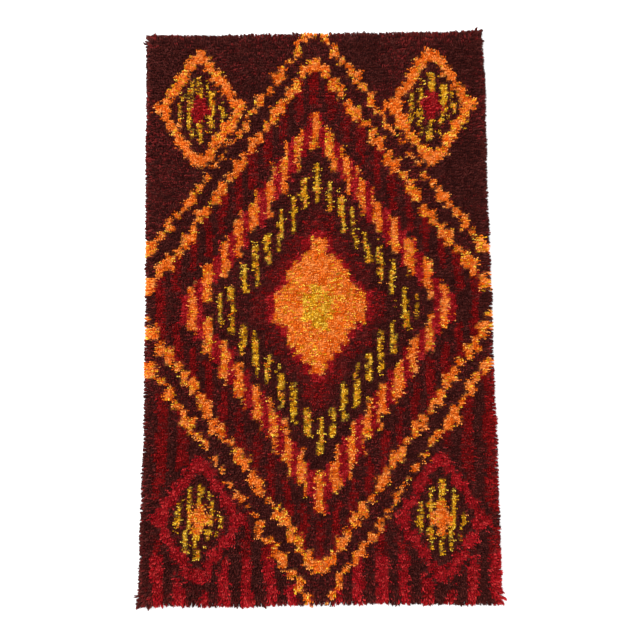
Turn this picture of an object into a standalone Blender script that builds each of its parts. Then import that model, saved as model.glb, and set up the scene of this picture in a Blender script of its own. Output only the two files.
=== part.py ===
"""Wool pile rug, laid flat: one solid with a flat underside, a lumpy pile surface and locks at its rim.

Metres, +Z up. The origin is on the floor under the middle of the rug. +Y runs along the rug to its head,
and +X across it.
"""
import math
import random

import bmesh
import bpy
from mathutils import Matrix, Vector, noise

# Driving dimensions
RUG_WIDTH = 0.850  # along X, over the pile
RUG_LENGTH = 1.400  # along Y, over the pile
PILE_HEIGHT = 0.0265  # floor to the mean surface of the pile

# The pile's surface: clumps of tufts, smaller clumps on them, and broad soft waves where the ground cloth gives.
# Columns: pitch, rise and fall, and a shift that keeps the patterns apart
CLUMP_PITCH = 0.028
PILE_RELIEF = (
    (CLUMP_PITCH, 0.0048, (0.0, 0.0, 0.0)),
    (0.012, 0.0029, (7.1, 3.3, 0.0)),
    (0.210, 0.0012, (0.0, 5.0, 2.0)),
)

# The rug's rim in section, from the pile's surface down to the floor, in metres.
# Columns: how far in from the outline, height as a share of the pile's height
RIM_SECTION = (
    (0.0135, 1.00),
    (0.0045, 0.82),
    (0.0000, 0.42),
    (0.0060, 0.00),
)
LOCK_REACH = 0.0065  # the outline above lies this far inside the rug's full size, and locks fill the rest
RIM_JITTER = 0.0013  # how far a point of the rim strays, to either side
CORNER_ROUNDING = 0.008
CORNER_SHARPNESS = 60  # the higher this is, the nearer to the corner the rounding stays

# How far each side stands out (+) or in (-) from a straight line, in millimetres.
# Columns: place along the side, from -1 to 1; then the left and right sides, and the head and foot
SIDE_STRAY = (
    (-1.0, 4.4, -1.0, 2.4, 1.6),
    (-0.8, 3.2, 0.4, 0.0, -1.2),
    (-0.6, -0.8, 1.2, -0.9, 0.8),
    (-0.4, -2.9, 0.5, -0.7, 1.9),
    (-0.2, -1.8, -2.4, -0.3, -0.9),
    (0.0, -3.5, 0.6, 0.5, -1.0),
    (0.2, -2.2, -0.2, -0.9, -1.2),
    (0.4, 0.6, -1.9, 0.5, -1.0),
    (0.6, 1.2, -0.2, 0.6, 0.2),
    (0.8, 2.8, 2.3, -0.8, 1.2),
    (1.0, 3.2, -1.0, 1.8, 2.0),
)
LEFT, RIGHT, HEAD, FOOT = 1, 2, 3, 4

# Locks of yarn that lean out over the rim. Each has three sides, one of them level and underneath
LOCK_PITCH = 0.0162
LOCK_CORNER_CLEARANCE = 0.0215  # from the first root on a side to the corner
LOCK_RADIUS = 0.0094
LOCK_TIP_RADIUS = 0.0034
LOCK_ROOT_DEPTH = 0.010  # how far a lock's root lies inside the outline
# Locks are low and high in turn. Columns: lowest and highest underside, shortest and longest lock
LOCK_LEVELS = (
    (0.0004, 0.0014, 0.0150, 0.0205),
    (0.0066, 0.0088, 0.0135, 0.0185),
)
LOCK_SWING = math.radians(22)  # to either side of straight out
CORNER_LOCK_ANGLES = (20, 45, 70)  # degrees round each corner
CORNER_LOCK_SPREAD = 0.0045  # from root to root there
CORNER_LOCK_LENGTH = (0.0215, 0.0265)
SEED = 11


def clear_scene():
    """Removes every object that is in the scene at the start."""
    for thing in list(bpy.data.objects):
        bpy.data.objects.remove(thing, do_unlink=True)


def new_collection(name):
    """Adds a collection to the scene."""
    collection = bpy.data.collections.new(name)
    bpy.context.scene.collection.children.link(collection)
    return collection


def wool_material():
    """Dull dyed wool, in the mean colour of the rug's reds and browns."""
    material = bpy.data.materials.new("dyed_wool_pile")
    material.use_nodes = True
    shader = material.node_tree.nodes["Principled BSDF"]
    shader.inputs["Base Color"].default_value = (0.17, 0.022, 0.014, 1.0)
    shader.inputs["Roughness"].default_value = 0.95
    shader.inputs["Metallic"].default_value = 0.0
    return material


def side_stray(side, place):
    """How far a side stands out at a place from -1 to 1, in metres, eased from station to station."""
    for before, after in zip(SIDE_STRAY, SIDE_STRAY[1:]):
        if place <= after[0]:
            share = (place - before[0]) / (after[0] - before[0])
            eased = 0.5 - 0.5 * math.cos(math.pi * min(max(share, 0.0), 1.0))
            return 0.001 * (before[side] + eased * (after[side] - before[side]))
    return 0.001 * SIDE_STRAY[-1][side]


def rug_point(across, along, inset):
    """The point at a place across and along the rug, each from -1 to 1, inside an outline set in by inset."""
    half_width = RUG_WIDTH / 2 - LOCK_REACH - inset
    half_length = RUG_LENGTH / 2 - LOCK_REACH - inset
    corner = CORNER_ROUNDING * (abs(across) * abs(along)) ** CORNER_SHARPNESS
    left = -half_width - side_stray(LEFT, along) + corner
    right = half_width + side_stray(RIGHT, along) - corner
    foot = -half_length - side_stray(FOOT, across) + corner
    head = half_length + side_stray(HEAD, across) - corner
    return Vector((left + (right - left) * (across + 1) / 2, foot + (head - foot) * (along + 1) / 2, 0.0))


def pile_lift(point):
    """How far the pile stands above its mean height: the sum of its clumps and waves."""
    return sum(lift * noise.noise(point / pitch + Vector(shift)) for pitch, lift, shift in PILE_RELIEF)


def extrude_rim(bm, ring):
    """Extrudes the open rim, and marks the new ring of points by its number, kept in Z for now."""
    rim = [edge for edge in bm.edges if edge.is_boundary]
    grown = bmesh.ops.extrude_edge_only(bm, edges=rim)["geom"]
    for item in grown:
        if isinstance(item, bmesh.types.BMVert):
            item.co.z = ring


def close_underside(bm, rows):
    """Closes the underside with one face, and cuts it across from side to side at each row of the grid."""
    rim = [edge for edge in bm.edges if edge.is_boundary]
    rest = bmesh.ops.contextual_create(bm, geom=rim)["faces"][0]
    half_row = 1 / rows
    for row in range(1, rows):
        along = -1 + 2 * row / rows
        on_row = [vert for vert in rest.verts if abs(vert.co.y - along) < half_row]
        left = min(on_row, key=lambda vert: vert.co.x)
        right = max(on_row, key=lambda vert: vert.co.x)
        cut_off = bmesh.utils.face_split(rest, left, right)[0]
        rest = max(rest, cut_off, key=lambda face: face.calc_center_median().y)


def finish_mesh(bm, name, collection):
    """Turns the faces outwards and makes an object of them."""
    bmesh.ops.recalc_face_normals(bm, faces=bm.faces[:])
    mesh = bpy.data.meshes.new(name)
    bm.to_mesh(mesh)
    bm.free()
    thing = bpy.data.objects.new(name, mesh)
    collection.objects.link(thing)
    return thing


def make_slab(collection, rng):
    """The pile as one closed body: a grid over the rug, its rim run down to the floor, and a flat underside."""
    columns = round(RUG_WIDTH / CLUMP_PITCH)
    rows = round(RUG_LENGTH / CLUMP_PITCH)
    bm = bmesh.new()
    bmesh.ops.create_grid(bm, x_segments=columns, y_segments=rows, size=1.0)
    for ring in range(1, len(RIM_SECTION)):
        extrude_rim(bm, ring)
    close_underside(bm, rows)
    for vert in bm.verts:
        inset, share = RIM_SECTION[round(vert.co.z)]
        across, along = vert.co.x, vert.co.y
        vert.co = rug_point(across, along, inset + rng.uniform(-RIM_JITTER, RIM_JITTER))
        vert.co.z = share * (PILE_HEIGHT + pile_lift(vert.co))
    bmesh.ops.triangulate(bm, faces=bm.faces[:], quad_method="SHORT_EDGE", ngon_method="BEAUTY")
    return finish_mesh(bm, "rug", collection)


def add_lock(bm, root, heading, underside, length):
    """Adds one lock of yarn: a three-sided taper from its root towards a heading, level underneath."""
    cone = bmesh.ops.create_cone(bm, cap_ends=True, segments=3, radius1=LOCK_RADIUS, radius2=LOCK_TIP_RADIUS,
                                 depth=length, matrix=Matrix.Rotation(math.pi / 2, 4, "Z"))
    place = Matrix.Translation(root) @ Matrix.Rotation(heading, 4, "Z")
    for vert in cone["verts"]:
        # Across the cone, a ridge is at -X and its two other corners are half a radius to +X
        radius = LOCK_TIP_RADIUS if vert.co.z > 0 else LOCK_RADIUS
        height = underside + radius / 2 - vert.co.x
        vert.co = place @ Vector((vert.co.z + length / 2, vert.co.y, height))


def side_places(length):
    """Places along a side, from -1 to 1, one lock pitch apart and clear of the corners."""
    count = round((length - 2 * LOCK_CORNER_CLEARANCE) / LOCK_PITCH)
    end = 1 - 2 * LOCK_CORNER_CLEARANCE / length
    return [end * (2 * step / (count - 1) - 1) for step in range(count)]


def make_locks(collection, rng):
    """All the locks round the rim, as one helper object."""
    bm = bmesh.new()
    sides = (
        (RUG_LENGTH, math.pi, lambda place: (-1, place)),
        (RUG_LENGTH, 0.0, lambda place: (1, place)),
        (RUG_WIDTH, math.pi / 2, lambda place: (place, 1)),
        (RUG_WIDTH, -math.pi / 2, lambda place: (place, -1)),
    )
    for length, outward, on_side in sides:
        for index, place in enumerate(side_places(length)):
            lowest, highest, shortest, longest = LOCK_LEVELS[index % 2]
            across, along = on_side(place)
            root = rug_point(across, along, LOCK_ROOT_DEPTH)
            heading = outward + rng.uniform(-LOCK_SWING, LOCK_SWING)
            add_lock(bm, root, heading, rng.uniform(lowest, highest), rng.uniform(shortest, longest))
    for side_x in (-1, 1):
        for side_y in (-1, 1):
            corner = rug_point(side_x, side_y, LOCK_ROOT_DEPTH)
            for index, angle in enumerate(CORNER_LOCK_ANGLES):
                lowest, highest = LOCK_LEVELS[index % 2][:2]
                root = corner + Vector((-side_x, side_y, 0.0)) * CORNER_LOCK_SPREAD * (index - 1)
                heading = math.atan2(side_y * math.sin(math.radians(angle)), side_x * math.cos(math.radians(angle)))
                add_lock(bm, root, heading, rng.uniform(lowest, highest), rng.uniform(*CORNER_LOCK_LENGTH))
    locks = finish_mesh(bm, "rim_locks", collection)
    locks.hide_render = True
    locks.display_type = "WIRE"
    return locks


def centre_on_origin(things):
    """Moves the points of the things together, so that their common box stands over the origin."""
    corners = [vert.co for thing in things for vert in thing.data.vertices]
    middle_x = (min(co.x for co in corners) + max(co.x for co in corners)) / 2
    middle_y = (min(co.y for co in corners) + max(co.y for co in corners)) / 2
    for thing in things:
        thing.data.transform(Matrix.Translation((-middle_x, -middle_y, 0.0)))


def join_locks(slab, locks):
    """Joins the locks to the slab, so that the rug is one solid."""
    union = slab.modifiers.new("locks", "BOOLEAN")
    union.operation = "UNION"
    union.solver = "EXACT"
    union.use_self = True
    union.object = locks


def main():
    """Makes the rug."""
    clear_scene()
    rug_parts = new_collection("wool_rug")
    helpers = new_collection("helpers")
    rng = random.Random(SEED)
    slab = make_slab(rug_parts, rng)
    locks = make_locks(helpers, rng)
    centre_on_origin((slab, locks))
    join_locks(slab, locks)
    slab.data.materials.append(wool_material())


main()
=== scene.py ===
"""A hand-knotted wool pile rug, laid flat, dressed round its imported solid.

The ground is a woven cloth. On it stand rows of knots, and each knot's ends are leaning, pointed tubes of
yarn, made as whole arrays. Colours follow a chart of stepped lozenges and upright bars.
"""
import math

import bpy
import numpy as np
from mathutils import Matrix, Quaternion, Vector


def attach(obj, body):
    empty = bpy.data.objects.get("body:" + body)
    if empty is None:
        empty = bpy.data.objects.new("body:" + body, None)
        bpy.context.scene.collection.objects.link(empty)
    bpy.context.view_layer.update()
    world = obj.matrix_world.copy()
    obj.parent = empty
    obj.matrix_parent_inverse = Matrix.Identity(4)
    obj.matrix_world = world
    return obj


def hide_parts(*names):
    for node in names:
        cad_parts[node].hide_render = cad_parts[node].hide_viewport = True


# Knots and yarn, in metres
KNOT_PITCH = 0.0076  # from knot to knot, and from row to row
END_SPACING = 0.0038  # a strand's two cut ends stand side by side along the row
STRAND_SPACING = 0.0032  # and a knot's two strands one behind the other
PAIR = (-0.5, 0.5)
END_PROUD = 0.0080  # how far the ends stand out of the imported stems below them
END_PROUD_SPREAD = 0.0009
KNOT_PROUD_SPREAD = 0.0008
END_SUNK = 0.0030  # and how far they start inside them
END_JITTER = 0.0005  # how far an end strays from its place in the knot
START_LEAN_BACK = 0.25  # an end starts behind its place by this share of its lean
LOWEST_END = 0.0022  # no end starts or ends nearer to the floor

# Over the rim the ends draw together in pointed tufts, and some tufts reach further than others
TUFT_PITCH = {"left": 0.0090, "right": 0.0090, "foot": 0.0125, "head": 0.0095}
TUFT_GATHER = 0.60  # share of the way that a tip goes to the middle of its tuft
TUFT_POINT = 0.8  # how much less of its reach a tuft has at its edges than in its middle
TUFT_REACH = {"left": 0.26, "right": 0.32, "foot": 0.72, "head": 0.36}
CORNER_REACH = (-0.10, 1.20)  # at a corner, each knot's tuft reaches further by between these shares
CORNER_FAN_WIDTH = 0.030  # and the tufts this near to it fan out
CORNER_FAN = 0.0028  # by this much
CORNER_GATHER = 0.85  # and draw together by this share of the way to their own knot
RIM_RAMP = 2.5  # what changes over the rim has changed in full by 1 / 2.5 of the way
RIM_LEAN = 0.0045  # how far the ends beside the rim lean out over it
RIM_LEAN_WIDTH = 0.028
RIM_DROOP = 0.0028  # how far the tips over the rim hang down

# A yarn end in section, from where it leaves its stem to its cut tip.
# Columns: share of its length, radius in metres
YARN_RINGS = (
    (0.00, 0.00135),
    (0.84, 0.00165),
)
YARN_SIDES = 3
YARN_THICKNESS_SPREAD = 0.10
OFF_AXIS = (0.31, 0.17, 0.0)  # any slant will do: it only gives each end a direction across its axis

# How far up its strand a point lies, which sets how much painted shade darkens its colour towards the roots:
# an end's rings, its tip, and the stems
RING_ALONG = (0.45, 0.95)
TIP_ALONG = 1.0
STEMS_ALONG = 0.5

# An end's own cell of the maps, as shares of the cell: its rings, its tip and the corners of its lower face
MAP_GAP = 0.12
MAP_RINGS = (0.12, 0.80)
MAP_TIP = 0.99
MAP_ROOT = ((0.1, 0.01), (0.5, 0.10), (0.9, 0.01))

# How the ends drift sideways from upright, in metres
NAP_TOWARDS_FOOT = 0.0006
# Columns: pitch of the pattern, strength
NAP_SWIRLS = (
    (0.070, 0.0032),
    (0.022, 0.0046),
)
KNOT_SPREAD = 0.0011  # and at random, knot by knot, strand by strand and end by end
STRAND_SPREAD = 0.0013
END_SPREAD = 0.0016
ROW_SPREAD = 0.7  # along the rug they drift by this share of what they do across it, as row holds row

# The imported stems: a mass as lumpy as the solid, rounded over at the rim
PILE_HEIGHT = 0.0265
STEMS_FOOT = 0.0023
RIM_ROUNDING = 0.011
OUTLINE_BEYOND_FOOT = 0.0125  # the rug's outline lies this far outside the foot of the solid's rim
FOOT_LEVEL = 0.0002  # the solid's points below this lie on the floor
SIDE_MARGIN = 0.015  # and those this near to the outermost of them make up a side
CORNER_STRETCH = 0.022  # a side is read up to here from its corner, and runs straight on from there
NEVER_ZERO = 0.01  # keeps the direction down the rim from having no length
# Columns: pitch of the lumps, rise and fall
PILE_RELIEF = (
    (0.028, 0.0030),
    (0.013, 0.0016),
    (0.210, 0.0012),
)

# The ground cloth
GROUND_THICKNESS = 0.0022
GROUND_RIDGE = 0.0006  # how far each row of knots stands out underneath
NEARLY = 0.999  # past this share of its half size a point of the cloth is at the edge
THREAD_PAIR = 0.0032  # two threads of the plain weave
GROUND_THREAD = "5b4030"
KNOT_SHARE = 0.5  # how much of the underside the backs of the knots take up
YARN_TURN_MM = 2.0  # from ply to ply, round the yarn

STRIPS = 5

# Lamps above the rug. Columns: name, place, width in metres, power in watts
LAMPS = (
    ("key", (-1.6, 1.2, 2.6), 1.6, 112.0),
    ("fill", (1.8, -1.4, 2.4), 2.2, 40.0),
)
SKY_STRENGTH = 1.05
FLOOR_LEVEL = -0.0003  # a hair below the cloth, so that the two don't lie in one plane

# Dyes, each a blend of strands in these shades
UMBER, MAROON, DEEP_RED, RED, ORANGE, GOLD = range(6)
DYES = (
    ("401613", "4b1c18", "361210", "552420"),
    ("5a1716", "681d1c", "4c1312", "782624"),
    ("760d0e", "870f10", "620a0a", "9a1a1a"),
    ("98121a", "aa171f", "860f15", "c03031"),
    ("e6701c", "f58930", "da5c0a", "fb9e4e"),
    ("dc9c18", "eeb626", "c07f0e", "fccf4a"),
)

# Strands of one dye among another, more in some places than in others.
# Columns: the dye, what is mixed in, share at most, pitch of the places
STRAYS = (
    (UMBER, MAROON, 0.50, 0.120),
    (MAROON, DEEP_RED, 0.80, 0.035),
    (MAROON, UMBER, 0.30, 0.050),
    (DEEP_RED, MAROON, 0.55, 0.045),
    (RED, DEEP_RED, 0.40, 0.030),
    (ORANGE, GOLD, 0.30, 0.050),
    (GOLD, ORANGE, 0.22, 0.030),
)
STRAND_WANDER = 0.0022  # how far a strand's dye strays past the edge of its figure
STRAND_SHADE_SPREAD = 0.07
END_SHADE_SPREAD = 0.06

# The chart, in metres: the great lozenge and the small ones in the corners
GREAT_LOZENGE = (0.345, 0.490)
SMALL_LOZENGE = (0.112, 0.165)
SMALL_LOZENGE_AT = (0.285, 0.500)

# The view
CAMERA_AIM = (0.006, -0.0308, 0.0)
CAMERA_DISTANCE = 1.5646
CAMERA_AZIMUTH = 3.4
CAMERA_ELEVATION = 84.74
CAMERA_ROLL = -4.009
CAMERA_LENS = 36.0

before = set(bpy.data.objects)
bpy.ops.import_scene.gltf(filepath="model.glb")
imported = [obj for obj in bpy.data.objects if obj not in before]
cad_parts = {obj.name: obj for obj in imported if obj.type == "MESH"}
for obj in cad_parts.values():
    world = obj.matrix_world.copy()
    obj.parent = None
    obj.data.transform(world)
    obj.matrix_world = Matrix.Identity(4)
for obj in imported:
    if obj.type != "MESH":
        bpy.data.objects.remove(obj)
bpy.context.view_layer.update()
rng = np.random.default_rng(20)


def linear(colour):
    """An sRGB hex colour as linear red, green and blue."""
    values = np.array([int(colour[k:k + 2], 16) / 255 for k in (0, 2, 4)])
    return np.where(values <= 0.04045, values / 12.92, ((values + 0.055) / 1.055) ** 2.4)


def add_node(tree, kind, settings=None, links=None):
    """Adds a node, sets its properties and sockets, and links its inputs to other nodes' outputs."""
    node = tree.nodes.new(kind)
    for name, value in (settings or {}).items():
        if hasattr(node, name):
            setattr(node, name, value)
        else:
            node.inputs[name].default_value = value
    for name, source in (links or {}).items():
        tree.links.new(source, node.inputs[name])
    return node


def wave_scale(period):
    """The Scale of a Wave texture that repeats every period, because it repeats every 2 pi / (20 * Scale)."""
    return 2 * math.pi / 20 / period


def hashed(i, j, salt):
    """A repeatable number from 0 to 1 for each pair of whole numbers."""
    mixed = (i * 374761393 + j * 668265263 + salt * 1442695041) & 0xFFFFFFFF
    mixed = ((mixed ^ (mixed >> 13)) * 1274126177) & 0xFFFFFFFF
    return ((mixed ^ (mixed >> 16)) & 0xFFFF) / 65535


def soft_noise(x, y, pitch, salt):
    """Smooth noise from -0.5 to 0.5: hashed corners of a square grid, blended with 3t^2 - 2t^3."""
    u, v = x / pitch, y / pitch
    i, j = np.floor(u).astype(np.int64), np.floor(v).astype(np.int64)
    s, t = u - i, v - j
    s, t = s * s * (3 - 2 * s), t * t * (3 - 2 * t)
    low = hashed(i, j, salt) * (1 - s) + hashed(i + 1, j, salt) * s
    high = hashed(i, j + 1, salt) * (1 - s) + hashed(i + 1, j + 1, salt) * s
    return low * (1 - t) + high * t - 0.5


def read_sides():
    """The rug's four sides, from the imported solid: the points on the floor are the foot of its rim."""
    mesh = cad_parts["rug"].data
    points = np.empty(len(mesh.vertices) * 3)
    mesh.vertices.foreach_get("co", points)
    points = points.reshape(-1, 3)
    foot = points[points[:, 2] < FOOT_LEVEL]
    half = (foot.max(axis=0) - foot.min(axis=0)) / 2
    sides = {}
    for name, axis, sign in (("left", 0, -1), ("right", 0, 1), ("foot", 1, -1), ("head", 1, 1)):
        on_side = foot[foot[:, axis] * sign > half[axis] - SIDE_MARGIN]
        on_side = on_side[np.argsort(on_side[:, 1 - axis])]
        sides[name] = (on_side[:, 1 - axis], on_side[:, axis])
    return sides


SIDES = read_sides()


def side(name, place):
    """Where a side of the ground cloth runs, at a place along it, evened over three places.

    Near a corner it runs straight on, so that the corner is square.
    """
    along, across = SIDES[name]
    step = KNOT_PITCH
    place = np.clip(place, along.min() + CORNER_STRETCH, along.max() - CORNER_STRETCH)
    return sum(np.interp(place + shift, along, across) for shift in (-step, 0.0, step)) / 3


def half_sizes():
    """Half the mean width and length of the rug's outline."""
    across = np.linspace(-0.35, 0.35, 15)
    along = np.linspace(-0.6, 0.6, 25)
    half_width = (side("right", along) - side("left", along)).mean() / 2 + OUTLINE_BEYOND_FOOT
    half_length = (side("head", across) - side("foot", across)).mean() / 2 + OUTLINE_BEYOND_FOOT
    return half_width, half_length


HALF_WIDTH, HALF_LENGTH = half_sizes()


def follow_sides(x, y):
    """Bends straight-sided places to the rug's uneven sides, the more the nearer they lie to a side."""
    u, v = x / HALF_WIDTH, y / HALF_LENGTH
    foot_width, foot_length = HALF_WIDTH - OUTLINE_BEYOND_FOOT, HALF_LENGTH - OUTLINE_BEYOND_FOOT
    left, right = side("left", y) + foot_width, side("right", y) - foot_width
    foot, head = side("foot", x) + foot_length, side("head", x) - foot_length
    return x + left * (1 - u) / 2 + right * (1 + u) / 2, y + foot * (1 - v) / 2 + head * (1 + v) / 2


def stepped(value, step):
    """Distance from zero, moved to the middle of the step that it lies in."""
    return (np.floor(np.abs(value) / step) + 0.5) * step


def lozenge(x, y, middle, half_size, step):
    """Share of the way from a lozenge's middle to its sides, in steps.

    It is |x| / half width + |y| / half length.
    """
    return stepped(x - middle[0], step) / half_size[0] + stepped(y - middle[1], step) / half_size[1]


def bars(x, pitch, share):
    """True on upright bars that take up a share of each pitch."""
    return (x / pitch) % 1.0 < share


def chart(x, y):
    """The dye of each knot. Ragged places come from noise at the size of a knot and of a hand."""
    wide_x = x + 0.010 * soft_noise(x, y, 0.055, 1) + 0.008 * soft_noise(x, y, 0.012, 2)
    wide_y = y + 0.012 * soft_noise(x, y, 0.055, 3) + 0.010 * soft_noise(x, y, 0.012, 4)
    dye = np.full(x.shape, UMBER)
    share = lozenge(wide_x, wide_y, (0, 0), GREAT_LOZENGE, 0.0185)
    upright = bars(wide_x + 0.0095, 0.038, 0.5)
    slim = bars(wide_x + 0.005, 0.030, 0.36)
    broad = bars(wide_x + 0.026, 0.052, 0.5)

    def paint(low, high, colour, where=True):
        dye[(share >= low) & (share < high) & where] = colour

    paint(1.50, 9.0, DEEP_RED, broad & (wide_y < 0))
    paint(1.50, 9.0, RED, broad & (wide_y < -0.58))
    paint(1.06, 1.24, DEEP_RED, upright)
    paint(1.24, 1.31, ORANGE)
    paint(1.43, 1.49, ORANGE)
    paint(0.00, 0.15, GOLD)
    paint(0.15, 0.36, ORANGE)
    paint(0.36, 0.41, RED)
    paint(0.41, 0.52, MAROON)
    paint(0.57, 0.74, GOLD, slim)
    paint(0.82, 1.00, ORANGE, upright)
    paint(0.82, 1.00, RED, ~upright)
    for sign_x in (-1, 1):
        for sign_y in (-1, 1):
            middle = (sign_x * SMALL_LOZENGE_AT[0], sign_y * SMALL_LOZENGE_AT[1])
            near = lozenge(wide_x, wide_y, middle, SMALL_LOZENGE, 0.0125)
            dye[near < 1.15] = UMBER
            dye[(near >= 0.74) & (near < 1.0)] = ORANGE if sign_y > 0 else RED
            dye[(near < 0.60) & bars(wide_x - middle[0] + 0.004, 0.026, 0.4)] = GOLD
            dye[near < 0.26] = RED if sign_y > 0 else ORANGE
    return dye


def shade_table():
    """Linear colours of every dye's shades, as an array of dyes by shades by three."""
    return np.array([[linear(shade) for shade in shades] for shades in DYES])


def quarter_arc(wide, high):
    """Length of a quarter of an ellipse, near enough: pi / 2 times the root mean square of its half axes."""
    return math.pi / 2 * math.sqrt((wide ** 2 + high ** 2) / 2)


STEMS_HIGH = PILE_HEIGHT - END_PROUD - STEMS_FOOT
RIM_ARC = quarter_arc(RIM_ROUNDING, STEMS_HIGH)
FLAT_WIDTH = HALF_WIDTH - END_PROUD - RIM_ROUNDING
FLAT_LENGTH = HALF_LENGTH - END_PROUD - RIM_ROUNDING


def over_rim(p, q):
    """How far over the rim a place lies, as shares from 0 to 1: past the sides, and past the ends."""
    past_sides = np.clip((np.abs(p) - FLAT_WIDTH) / RIM_ARC, 0, 1)
    past_ends = np.clip((np.abs(q) - FLAT_LENGTH) / RIM_ARC, 0, 1)
    return past_sides, past_ends


def unit(vectors):
    """Vectors of length one."""
    return vectors / np.linalg.norm(vectors, axis=-1, keepdims=True)


def stems_surface(p, q):
    """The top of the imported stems, for places p across and q along, measured on the surface itself.

    It is flat but for its lumps, and past the flat part it runs down a quarter of an ellipse on each side:
    x = flat + rounding * sin(angle), and z = foot + height * cos(angle). The normal there is
    (sin(angle) / rounding, cos(angle) / height), and it fans out round a corner.
    """
    over_p, over_q = over_rim(p, q)
    sin_p, cos_p = np.sign(p) * np.sin(over_p * math.pi / 2), np.cos(over_p * math.pi / 2)
    sin_q, cos_q = np.sign(q) * np.sin(over_q * math.pi / 2), np.cos(over_q * math.pi / 2)
    x = np.clip(p, -FLAT_WIDTH, FLAT_WIDTH) + RIM_ROUNDING * sin_p
    y = np.clip(q, -FLAT_LENGTH, FLAT_LENGTH) + RIM_ROUNDING * sin_q
    relief = sum(lift * soft_noise(p, q, pitch, 30 + row) for row, (pitch, lift) in enumerate(PILE_RELIEF))
    z = STEMS_FOOT + (STEMS_HIGH + relief) * cos_p * cos_q
    x, y = follow_sides(x, y)
    level = np.zeros_like(x)
    normal = [sin_p / RIM_ROUNDING, sin_q / RIM_ROUNDING, cos_p * cos_q / STEMS_HIGH]
    along_p = [RIM_ROUNDING * (cos_p + NEVER_ZERO), level, -STEMS_HIGH * sin_p]
    along_q = [level, RIM_ROUNDING * (cos_q + NEVER_ZERO), -STEMS_HIGH * sin_q]
    return {
        "point": np.stack([x, y, z], axis=-1),
        "normal": unit(np.stack(normal, axis=-1)),
        "along_p": unit(np.stack(along_p, axis=-1)),
        "along_q": unit(np.stack(along_q, axis=-1)),
    }


def knot_rows():
    """Places of the knots across and along the stems' surface, over the rim and all."""
    reach_p, reach_q = FLAT_WIDTH + RIM_ARC, FLAT_LENGTH + RIM_ARC
    columns = round(2 * reach_p / KNOT_PITCH) + 1
    rows = round(2 * reach_q / KNOT_PITCH) + 1
    return np.linspace(-reach_p, reach_p, columns), np.linspace(-reach_q, reach_q, rows)


def knot_dyes(p, q):
    """The dye at a place on the stems' surface: over the rim, the outermost knots' own dye goes on down."""
    return chart(np.clip(p, -FLAT_WIDTH, FLAT_WIDTH), np.clip(q, -FLAT_LENGTH, FLAT_LENGTH))


def mix_strays(dye, p, q):
    """The dyes with strands of others among them: share * (1/2 + 2 * noise) of each dye's strands change."""
    mixed = dye.copy()
    for row, (main_dye, other, share, pitch) in enumerate(STRAYS):
        amount = share * np.clip(0.5 + 2 * soft_noise(p, q, pitch, 50 + row), 0, 1)
        mixed[(dye == main_dye) & (rng.random(dye.shape) < amount)] = other
    return mixed


def gather_tufts(p, q, knot_p, knot_q):
    """Pointed tufts over the rim, as each end's pull towards its tuft's middle and its greater reach.

    On a straight side a tuft is a cell along it, pulled by gather * (middle of the cell - place), and it
    reaches further in its middle. At a corner a tuft is one knot. Beside the rim the ends lean out over it.
    """
    over_p, over_q = over_rim(p, q)
    by_side = over_p >= over_q
    along = np.where(by_side, q, p)
    rim = np.clip(RIM_RAMP * np.maximum(over_p, over_q), 0, 1)
    number = np.where(by_side, np.where(p > 0, 1, 0), np.where(q > 0, 3, 2))
    pitch, most_reach = (np.array([table[name] for name in ("left", "right", "foot", "head")])[number]
                         for table in (TUFT_PITCH, TUFT_REACH))
    cell = np.floor(along / pitch).astype(np.int64)
    pull = rim * TUFT_GATHER * ((cell + 0.5) * pitch - along)
    from_middle = 2 * np.abs(along / pitch - cell - 0.5)
    further = most_reach * (1 - TUFT_POINT * from_middle) * (0.25 + 0.75 * hashed(cell, number, 5))
    to_corner = np.where(by_side, FLAT_LENGTH - np.abs(q), FLAT_WIDTH - np.abs(p))
    corner = rim * np.clip(1 - to_corner / CORNER_FAN_WIDTH, 0, 1)
    own = np.floor(knot_p / KNOT_PITCH).astype(np.int64), np.floor(knot_q / KNOT_PITCH).astype(np.int64)
    least, most = CORNER_REACH
    further = further * (1 - corner) + corner * (least + (most - least) * hashed(*own, 6))
    gather = corner * CORNER_GATHER
    pull_p = np.where(by_side, 0, pull + CORNER_FAN * np.sign(p) * corner) + gather * (knot_p - p)
    pull_q = np.where(by_side, pull + CORNER_FAN * np.sign(q) * corner, 0) + gather * (knot_q - q)
    lean_p = np.clip(1 - (FLAT_WIDTH - np.abs(p)) / RIM_LEAN_WIDTH, 0, 1) * (1 - over_p)
    lean_q = np.clip(1 - (FLAT_LENGTH - np.abs(q)) / RIM_LEAN_WIDTH, 0, 1) * (1 - over_q)
    pull_p = pull_p + RIM_LEAN * np.sign(p) * lean_p
    pull_q = pull_q + RIM_LEAN * np.sign(q) * lean_q
    return pull_p, pull_q, 1 + rim * further, rim


def strand_colours(p, q):
    """One colour for each strand, because both its ends are the same yarn: its dye's shade * its own tone."""
    wander_p, wander_q = rng.normal(0, STRAND_WANDER, (2, p.size))
    dye = mix_strays(knot_dyes(p + wander_p, q + wander_q), p, q)
    shades = shade_table()
    tone = rng.normal(1.0, STRAND_SHADE_SPREAD, (p.size, 1))
    return shades[dye, rng.integers(0, shades.shape[1], p.size)] * tone


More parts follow.
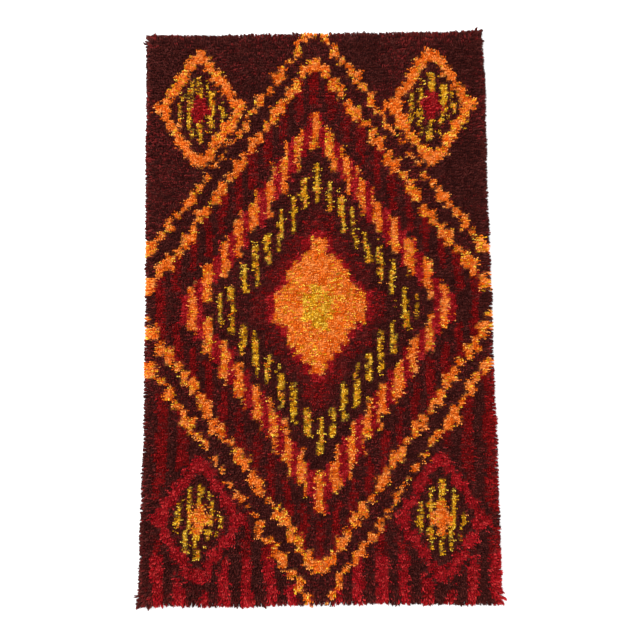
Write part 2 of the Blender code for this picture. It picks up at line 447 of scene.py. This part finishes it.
def yarn_ends():
    """Every cut end of yarn, as arrays: where it starts, its tip, and its colour."""
    columns, rows = knot_rows()
    knot_p, knot_q = (grid.ravel() for grid in np.meshgrid(columns, rows))
    count = len(knot_p)
    shape = (count, len(PAIR), len(PAIR))
    strand = np.array(PAIR)[None, :, None] * STRAND_SPACING
    end = np.array(PAIR)[None, None, :] * END_SPACING
    p = (knot_p[:, None, None] + end + rng.normal(0, END_JITTER, shape)).ravel()
    q = (knot_q[:, None, None] + strand + rng.normal(0, END_JITTER, shape)).ravel()

    drift = []
    for axis, steady, loose in ((0, 0.0, 1.0), (1, -NAP_TOWARDS_FOOT, ROW_SPREAD)):
        swirl = sum(
            strength * soft_noise(knot_p, knot_q, pitch, 10 + 2 * index + axis)
            for index, (pitch, strength) in enumerate(NAP_SWIRLS)
        )
        of_knot = steady + loose * (swirl + rng.normal(0, KNOT_SPREAD, count))
        of_strand = rng.normal(0, STRAND_SPREAD * loose, shape[:2])
        of_end = rng.normal(0, END_SPREAD * loose, shape)
        drift.append((of_knot[:, None, None] + of_strand[:, :, None] + of_end).ravel())

    each = len(PAIR) ** 2
    pull_p, pull_q, reach, rim = gather_tufts(p, q, np.repeat(knot_p, each), np.repeat(knot_q, each))
    stems = stems_surface(p, q)
    base, normal = stems["point"], stems["normal"]
    lean_p, lean_q = (drift[0] + pull_p)[:, None], (drift[1] + pull_q)[:, None]
    sideways = lean_p * stems["along_p"] + lean_q * stems["along_q"]
    of_knot = np.repeat(rng.normal(0, KNOT_PROUD_SPREAD, count), each)
    proud = (END_PROUD + of_knot + rng.normal(0, END_PROUD_SPREAD, p.size)) * reach
    tip = base + normal * proud[:, None] + sideways
    tip[:, 2] = np.maximum(tip[:, 2] - RIM_DROOP * rim, LOWEST_END)
    start = base - normal * END_SUNK - START_LEAN_BACK * sideways
    start[:, 2] = np.maximum(start[:, 2], LOWEST_END)

    strand_p = np.repeat(knot_p, len(PAIR))
    strand_q = (knot_q[:, None] + strand[:, :, 0]).ravel()
    colour = np.repeat(strand_colours(strand_p, strand_q), len(PAIR), axis=0)
    colour = colour * rng.normal(1.0, END_SHADE_SPREAD, (p.size, 1))
    return {"start": start, "tip": tip, "colour": np.clip(colour, 0, 1)}


def yarn_points(ends):
    """Points of every end, as an array of ends by points by three: rings round its axis, then the tip."""
    count = len(ends["tip"])
    axis = ends["tip"] - ends["start"]
    ahead = unit(axis)
    spin = rng.uniform(0, 2 * math.pi, count)[:, None]
    flat = np.cross(ahead, np.array(OFF_AXIS) + ahead[:, [1, 2, 0]])
    first = unit(flat)
    second = np.cross(ahead, first)
    thickness = rng.normal(1.0, YARN_THICKNESS_SPREAD, count)[:, None]
    columns = []
    for share, radius in YARN_RINGS:
        for corner in range(YARN_SIDES):
            angle = 2 * math.pi * corner / YARN_SIDES + spin
            offset = np.cos(angle) * first + np.sin(angle) * second
            columns.append(ends["start"] + share * axis + radius * thickness * offset)
    columns.append(ends["tip"])
    return np.stack(columns, axis=1)


def yarn_faces():
    """One end's faces as lists of points, with each corner's place in the end's own cell of the map."""
    rings = len(YARN_RINGS)
    tip = rings * YARN_SIDES
    faces, places = [], []
    for ring in range(rings - 1):
        for corner in range(YARN_SIDES):
            ahead = (corner + 1) % YARN_SIDES
            low, high = ring * YARN_SIDES, (ring + 1) * YARN_SIDES
            faces.append([low + corner, low + ahead, high + ahead, high + corner])
            left, right = corner / YARN_SIDES, (corner + 1) / YARN_SIDES
            bottom, top = MAP_RINGS[ring], MAP_RINGS[ring + 1]
            places.append([(left, bottom), (right, bottom), (right, top), (left, top)])
    for corner in range(YARN_SIDES):
        top = (rings - 1) * YARN_SIDES
        left, right = corner / YARN_SIDES, (corner + 1) / YARN_SIDES
        faces.append([top + corner, top + (corner + 1) % YARN_SIDES, tip])
        places.append([(left, MAP_RINGS[-1]), (right, MAP_RINGS[-1]), ((left + right) / 2, MAP_TIP)])
    faces.append(list(range(YARN_SIDES))[::-1])
    places.append(list(MAP_ROOT))
    return faces, places


def build_mesh(name, points, faces_of_one, copies):
    """A mesh of many copies of one list of faces, each copy on its own run of points."""
    per_copy = points.shape[1]
    template = np.concatenate([np.array(face) for face in faces_of_one])
    sizes = np.array([len(face) for face in faces_of_one])
    corners = (template[None, :] + (np.arange(copies) * per_copy)[:, None]).ravel()
    starts = np.concatenate([[0], np.cumsum(np.tile(sizes, copies))[:-1]])
    mesh = bpy.data.meshes.new(name)
    mesh.vertices.add(copies * per_copy)
    mesh.vertices.foreach_set("co", points.astype(np.float32).ravel())
    mesh.loops.add(len(corners))
    mesh.loops.foreach_set("vertex_index", corners.astype(np.int32))
    mesh.polygons.add(len(starts))
    mesh.polygons.foreach_set("loop_start", starts.astype(np.int32))
    mesh.update(calc_edges=True)
    mesh.shade_smooth()
    return mesh


def add_map(mesh, name, places):
    """A map of the mesh's corners to places on a sheet."""
    layer = mesh.uv_layers.new(name=name)
    layer.data.foreach_set("uv", places.astype(np.float32).ravel())


def add_point_colours(mesh, name, colours):
    """A colour for each point, as an attribute."""
    layer = mesh.attributes.new(name, "FLOAT_COLOR", "POINT")
    with_alpha = np.column_stack([colours, np.ones(len(colours))])
    layer.data.foreach_set("color", with_alpha.astype(np.float32).ravel())


def add_point_values(mesh, name, values):
    """A number for each point, as an attribute."""
    layer = mesh.attributes.new(name, "FLOAT", "POINT")
    layer.data.foreach_set("value", values.astype(np.float32))


def put_in_scene(name, mesh, material):
    """An object at the origin, in the scene, with its material."""
    thing = bpy.data.objects.new(name, mesh)
    bpy.context.scene.collection.objects.link(thing)
    mesh.materials.append(material)
    return thing


def make_strip(name, ends, material):
    """One strip of the pile: all its ends in one mesh, with their colours and maps."""
    points = yarn_points(ends)
    copies = len(points)
    faces, places = yarn_faces()
    mesh = build_mesh(name, points, faces, copies)
    flat_places = np.array([place for face in places for place in face])
    across = math.ceil(math.sqrt(copies))
    cell = np.stack(np.divmod(np.arange(copies), across)[::-1], axis=1)[:, None, :]
    in_cell = MAP_GAP / 2 + flat_places[None] * (1 - MAP_GAP)
    add_map(mesh, "OFBake", ((cell + in_cell) / across).reshape(-1, 2))
    yarn_size = np.array([2 * math.pi * YARN_RINGS[-1][1], END_SUNK + END_PROUD]) * 1000
    add_map(mesh, "yarn_mm", np.tile(flat_places * yarn_size, (copies, 1)))
    per_copy = points.shape[1]
    add_point_colours(mesh, "dye", np.repeat(ends["colour"], per_copy, axis=0))
    shares = [*np.repeat(RING_ALONG, YARN_SIDES), TIP_ALONG]
    add_point_values(mesh, "along", np.tile(shares, copies))
    return put_in_scene(name, mesh, material)


def wool_yarn_material():
    """Dyed wool yarn, plied and cut: dull, fuzzy and a little streaky, with painted shade darkening it down
    among the knots.
    """
    material = bpy.data.materials.new("dyed_plied_wool_yarn")
    material.use_nodes = True
    tree = material.node_tree
    tree.nodes.clear()
    dye = add_node(tree, "ShaderNodeAttribute", {"attribute_name": "dye"})
    along = add_node(tree, "ShaderNodeAttribute", {"attribute_name": "along"})
    place = add_node(tree, "ShaderNodeTexCoord")
    yarn = add_node(tree, "ShaderNodeUVMap", {"uv_map": "yarn_mm"})

    # Fibres take dye unevenly, in flecks of about 1.5 mm
    flecks = add_node(tree, "ShaderNodeTexNoise", {"Scale": 650.0, "Detail": 2.0, "Roughness": 0.6},
                      {"Vector": place.outputs["Object"]})
    fleck_range = add_node(tree, "ShaderNodeMapRange", {"From Min": 0.3, "From Max": 0.7, "To Min": 0.84,
                                                        "To Max": 1.14}, {"Value": flecks.outputs["Fac"]})
    # Painted shade: the colour darkens towards the roots, where little light reaches down among the knots
    painted_root_shade = add_node(tree, "ShaderNodeMapRange", {"From Min": 0.1, "From Max": 0.85, "To Min": 0.45,
                                                       "To Max": 1.0}, {"Value": along.outputs["Fac"]})
    # the dye's flecks times the painted shade at the roots
    both = add_node(tree, "ShaderNodeMath", {"operation": "MULTIPLY"})
    tree.links.new(fleck_range.outputs["Result"], both.inputs[0])
    tree.links.new(painted_root_shade.outputs["Result"], both.inputs[1])
    shade = add_node(tree, "ShaderNodeVectorMath", {"operation": "SCALE"},
                     {"Vector": dye.outputs["Color"], "Scale": both.outputs["Value"]})

    # Plies wind round the yarn, so their bands slope across its unrolled side
    slope = add_node(tree, "ShaderNodeMapping", {"Rotation": (0.0, 0.0, math.radians(38))},
                     {"Vector": yarn.outputs["UV"]})
    plies = add_node(tree, "ShaderNodeTexWave", {"bands_direction": "X", "Scale": wave_scale(YARN_TURN_MM),
                                                 "Distortion": 1.2, "Detail": 2.0},
                     {"Vector": slope.outputs["Vector"]})
    bump = add_node(tree, "ShaderNodeBump", {"Strength": 0.5, "Distance": 0.0004},
                    {"Height": plies.outputs["Fac"]})
    shader = add_node(tree, "ShaderNodeBsdfPrincipled",
                      {"Roughness": 0.95, "IOR": 1.54, "Specular IOR Level": 0.03, "Sheen Weight": 0.01,
                       "Sheen Roughness": 0.5},
                      {"Base Color": shade.outputs["Vector"], "Normal": bump.outputs["Normal"]})
    add_node(tree, "ShaderNodeOutputMaterial", None, {"Surface": shader.outputs["BSDF"]})
    return material


def ground_cloth_material():
    """Plain-woven wool ground: dull brown threads about 1.6 mm apart, with the backs of the knots and painted
    shade between the threads.
    """
    material = bpy.data.materials.new("plain_woven_wool_ground")
    material.use_nodes = True
    tree = material.node_tree
    tree.nodes.clear()
    place = add_node(tree, "ShaderNodeTexCoord")
    dye = add_node(tree, "ShaderNodeAttribute", {"attribute_name": "dye"})
    threads = {"Scale": wave_scale(THREAD_PAIR), "Distortion": 0.4}
    warp = add_node(tree, "ShaderNodeTexWave", {"bands_direction": "X", **threads},
                    {"Vector": place.outputs["Object"]})
    weft = add_node(tree, "ShaderNodeTexWave", {"bands_direction": "Y", **threads},
                    {"Vector": place.outputs["Object"]})
    weave = add_node(tree, "ShaderNodeMath", {"operation": "MULTIPLY"})
    tree.links.new(warp.outputs["Fac"], weave.inputs[0])
    tree.links.new(weft.outputs["Fac"], weave.inputs[1])
    bump = add_node(tree, "ShaderNodeBump", {"Strength": 0.7, "Distance": 0.0006},
                    {"Height": weave.outputs["Value"]})
    # Painted shade: the colour darkens where the weave lies low, between the threads
    painted_weave_shade = add_node(tree, "ShaderNodeMapRange", {"To Min": 0.55, "To Max": 1.0},
                         {"Value": weave.outputs["Value"]})
    shade = add_node(tree, "ShaderNodeVectorMath", {"operation": "SCALE"},
                     {"Vector": dye.outputs["Color"], "Scale": painted_weave_shade.outputs["Result"]})
    shader = add_node(tree, "ShaderNodeBsdfPrincipled",
                      {"Roughness": 0.95, "IOR": 1.54, "Specular IOR Level": 0.2, "Sheen Weight": 0.15},
                      {"Base Color": shade.outputs["Vector"], "Normal": bump.outputs["Normal"]})
    add_node(tree, "ShaderNodeOutputMaterial", None, {"Surface": shader.outputs["BSDF"]})
    return material


def rim_loop(index):
    """The points round the edge of a grid, in order, against the clock."""
    return np.concatenate([index[0, :-1], index[:-1, -1], index[-1, :0:-1], index[:0:-1, 0]])


def grid_faces(index):
    """Four-cornered faces between the points of a grid, facing up."""
    return np.stack([index[:-1, :-1], index[:-1, 1:], index[1:, 1:], index[1:, :-1]], axis=-1).reshape(-1, 4)


def make_ground(material):
    """The ground cloth: a thin closed slab, with z = 0 under each row of knots and a ridge higher between."""
    half_width, half_length = HALF_WIDTH - OUTLINE_BEYOND_FOOT, HALF_LENGTH - OUTLINE_BEYOND_FOOT
    columns, rows = round(2 * half_width / KNOT_PITCH), 2 * round(half_length / KNOT_PITCH)
    x, y = np.meshgrid(np.linspace(-half_width, half_width, columns + 1),
                       np.linspace(-half_length, half_length, rows + 1))
    at_edge = (np.abs(x) > half_width * NEARLY) | (np.abs(y) > half_length * NEARLY)
    between_rows = (np.arange(rows + 1) % 2 == 1)[:, None]
    under = np.where(at_edge | between_rows, GROUND_RIDGE, 0.0)
    dyes = chart(x, y).ravel()
    x, y = follow_sides(x, y)
    below = np.stack([x, y, under], axis=-1).reshape(-1, 3)
    index = np.arange(x.size).reshape(x.shape)
    loop = rim_loop(index)
    above = below[loop] * np.array([1, 1, 0]) + np.array([0, 0, GROUND_THICKNESS])
    upper = x.size + np.arange(len(loop))
    walls = np.stack([loop, np.roll(loop, -1), np.roll(upper, -1), upper], axis=-1)
    mesh = bpy.data.meshes.new("ground_cloth")
    faces = [*grid_faces(index)[:, ::-1].tolist(), *walls.tolist(), upper.tolist()]
    mesh.from_pydata(np.concatenate([below, above]).tolist(), [], faces)
    mesh.shade_smooth()
    colours = KNOT_SHARE * shade_table()[dyes, 0] + (1 - KNOT_SHARE) * linear(GROUND_THREAD)
    add_point_colours(mesh, "dye", np.concatenate([colours, colours[loop]]))
    return put_in_scene("ground_cloth", mesh, material)


def make_stems(material):
    """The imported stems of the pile, as one closed mass under the cut ends."""
    columns, rows = knot_rows()
    p, q = np.meshgrid(columns, rows)
    points = stems_surface(p, q)["point"]
    index = np.arange(p.size).reshape(p.shape)
    faces = grid_faces(index).tolist()
    faces.append(rim_loop(index)[::-1].tolist())
    mesh = bpy.data.meshes.new("pile_stems")
    mesh.from_pydata(points.reshape(-1, 3).tolist(), [], faces)
    mesh.shade_smooth()
    add_map(mesh, "yarn_mm", np.zeros((len(mesh.loops), 2)))
    shades = shade_table()
    of_knot = rng.integers(0, shades.shape[1], p.size)
    add_point_colours(mesh, "dye", shades[knot_dyes(p, q).ravel(), of_knot])
    # The stems stand halfway up their strands, so the wool material darkens their colour with painted shade
    add_point_values(mesh, "along", np.full(p.size, STEMS_ALONG))
    return put_in_scene("pile_stems", mesh, material)


def make_pile(material):
    """The whole pile, in strips across the rug."""
    ends = yarn_ends()
    count = len(ends["tip"])
    strip_of = np.arange(count) * STRIPS // count
    strips = []
    for number in range(STRIPS):
        chosen = strip_of == number
        part = {name: values[chosen] for name, values in ends.items()}
        strips.append(make_strip(f"pile_strip_{number + 1}", part, material))
    return strips


def stage_the_rug():
    """A plain pale floor, a soft sky and two broad lamps."""
    bpy.ops.mesh.primitive_plane_add(size=30.0, location=(0, 0, FLOOR_LEVEL))
    floor = bpy.context.object
    floor.name = "floor"
    material = bpy.data.materials.new("pale_matt_paint")
    material.use_nodes = True
    shader = material.node_tree.nodes["Principled BSDF"]
    shader.inputs["Base Color"].default_value = (0.9, 0.9, 0.9, 1.0)
    shader.inputs["Roughness"].default_value = 0.9
    floor.data.materials.append(material)
    world = bpy.data.worlds.new("soft_sky")
    bpy.context.scene.world = world
    world.use_nodes = True
    world.node_tree.nodes["Background"].inputs["Color"].default_value = (1.0, 1.0, 1.0, 1.0)
    world.node_tree.nodes["Background"].inputs["Strength"].default_value = SKY_STRENGTH
    for name, place, size, power in LAMPS:
        lamp = bpy.data.lights.new(name, "AREA")
        lamp.size = size
        lamp.energy = power
        holder = bpy.data.objects.new(name, lamp)
        holder.location = place
        holder.rotation_euler = (-Vector(place)).to_track_quat("-Z", "Y").to_euler()
        bpy.context.scene.collection.objects.link(holder)


def make_camera():
    """The camera, above the rug and a little towards its foot, turned about its own axis."""
    azimuth, elevation = math.radians(CAMERA_AZIMUTH), math.radians(CAMERA_ELEVATION)
    back = Vector((math.sin(azimuth) * math.cos(elevation), -math.cos(azimuth) * math.cos(elevation),
                   math.sin(elevation)))
    camera = bpy.data.objects.new("camera", bpy.data.cameras.new("camera"))
    camera.data.lens = CAMERA_LENS
    camera.location = Vector(CAMERA_AIM) + back * CAMERA_DISTANCE
    level = (-back).to_track_quat("-Z", "Y")
    camera.rotation_mode = "QUATERNION"
    camera.rotation_quaternion = Quaternion(back, math.radians(CAMERA_ROLL)) @ level
    bpy.context.scene.collection.objects.link(camera)
    bpy.context.scene.camera = camera


def main():
    """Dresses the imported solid."""
    bpy.context.scene.view_settings.view_transform = "Standard"
    ground = make_ground(ground_cloth_material())
    wool = wool_yarn_material()
    pile = [make_stems(wool), *make_pile(wool)]
    for piece in [ground, *pile]:
        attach(piece, "root")
        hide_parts("rug")
    stage_the_rug()
    make_camera()


main()
